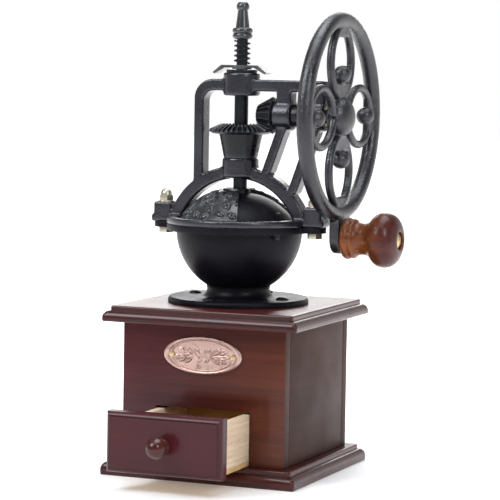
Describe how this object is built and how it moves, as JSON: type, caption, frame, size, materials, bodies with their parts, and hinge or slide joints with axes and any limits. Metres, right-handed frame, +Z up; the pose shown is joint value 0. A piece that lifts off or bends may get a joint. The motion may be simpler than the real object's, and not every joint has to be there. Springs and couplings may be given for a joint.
{
  "type": "coffee grinder mill",
  "caption": "Hand-cranked table coffee mill with a moulded wooden box and drawer, cast iron hopper, bevel gears and a spoked flywheel with a turned grip.",
  "frame": {"origin": "centre of the wooden box's underside", "axes": "+Z up, the drawer opens towards -Y, the flywheel stands on the +X side"},
  "size_m": [0.1667, 0.1872, 0.2855],
  "materials": {
    "wood_case": "dark mahogany lacquer, gloss",
    "wood_grip": "turned hardwood, amber lacquer, gloss",
    "wood_pale": "plain pale beech, unfinished",
    "iron_black": "cast iron, satin black paint",
    "iron_machined": "machined and blackened",
    "steel": "zinc-plated steel",
    "brass": "polished brass",
    "copper": "antiqued copper plate",
    "burr_steel": "hardened steel, ground"
  },
  "bodies": {
    "mill": {"plinth_board": "wood_case", "lid_board": "wood_case", "front_panel": "wood_case", "back_panel": "wood_case", "left_panel": "wood_case", "right_panel": "wood_case", "drawer_runners": "wood_pale", "board_screws": "steel", "label_plate": "copper", "label_pins": "brass", "bowl": "iron_black", "flange_screws": "iron_machined", "outer_burr": "burr_steel", "hopper_cover": "iron_black", "cover_bush": "iron_machined", "yoke_frame": "iron_black", "upper_bush": "brass", "lower_bush": "brass", "inner_wheel_bush": "brass", "outer_wheel_bush": "brass", "clamp_bolts": "steel", "bolt_washers": "steel", "acorn_nuts": "steel"},
    "drawer": {"drawer_front": "wood_case", "drawer_bottom": "wood_pale", "drawer_left_side": "wood_pale", "drawer_right_side": "wood_pale", "drawer_back": "wood_pale", "drawer_knob": "wood_case", "drawer_knob_screw": "steel"},
    "door": {"hopper_door": "iron_black"},
    "wheel": {"flywheel": "iron_black", "wheel_shaft": "iron_machined", "pinion": "iron_black", "shaft_collar": "iron_machined", "wheel_set_screw": "iron_machined", "handle_washer": "brass", "handle_spindle": "brass"},
    "grip": {"handle_knob": "wood_grip"},
    "grinder_shaft": {"drive_shaft": "iron_machined", "inner_burr": "burr_steel", "burr_nut": "steel", "driven_gear": "iron_black", "gear_pin": "iron_machined", "thrust_washer": "iron_machined", "adjusting_spring": "iron_machined"},
    "adjuster": {"adjusting_wing": "iron_black"},
    "top_knob": {"finial": "iron_black"}
  },
  "joints": [
    {"name": "drawer_slide", "type": "slide", "parent": "mill", "child": "drawer", "axis": [0, -1, 0], "range_m": [-0.0477, 0.028]},
    {"name": "wheel_spin", "type": "hinge", "parent": "mill", "child": "wheel", "pos_m": [0.064, 0, 0.217], "axis": [1, 0, 0], "continuous": true},
    {"name": "grip_spin", "type": "hinge", "parent": "wheel", "child": "grip", "pos_m": [0.08, 0, 0.1445], "axis": [1, 0, 0], "continuous": true},
    {"name": "shaft_spin", "type": "hinge", "parent": "mill", "child": "grinder_shaft", "pos_m": [0, 0, 0.2], "axis": [0, 0, 1], "continuous": true},
    {"name": "adjuster_turn", "type": "hinge", "parent": "grinder_shaft", "child": "adjuster", "pos_m": [0, 0, 0.246], "axis": [0, 0, 1], "range_deg": [-180, 180]},
    {"name": "top_knob_turn", "type": "hinge", "parent": "grinder_shaft", "child": "top_knob", "pos_m": [0, 0, 0.27], "axis": [0, 0, 1], "range_deg": [-180, 180]},
    {"name": "door_swing", "type": "hinge", "parent": "mill", "child": "door", "pos_m": [0, 0, 0.17], "axis": [0, 0, 1], "range_deg": [0, 60]}
  ],
  "couplings": [
    {"joint": "shaft_spin", "follows": "wheel_spin", "ratio": 0.5}
  ]
}
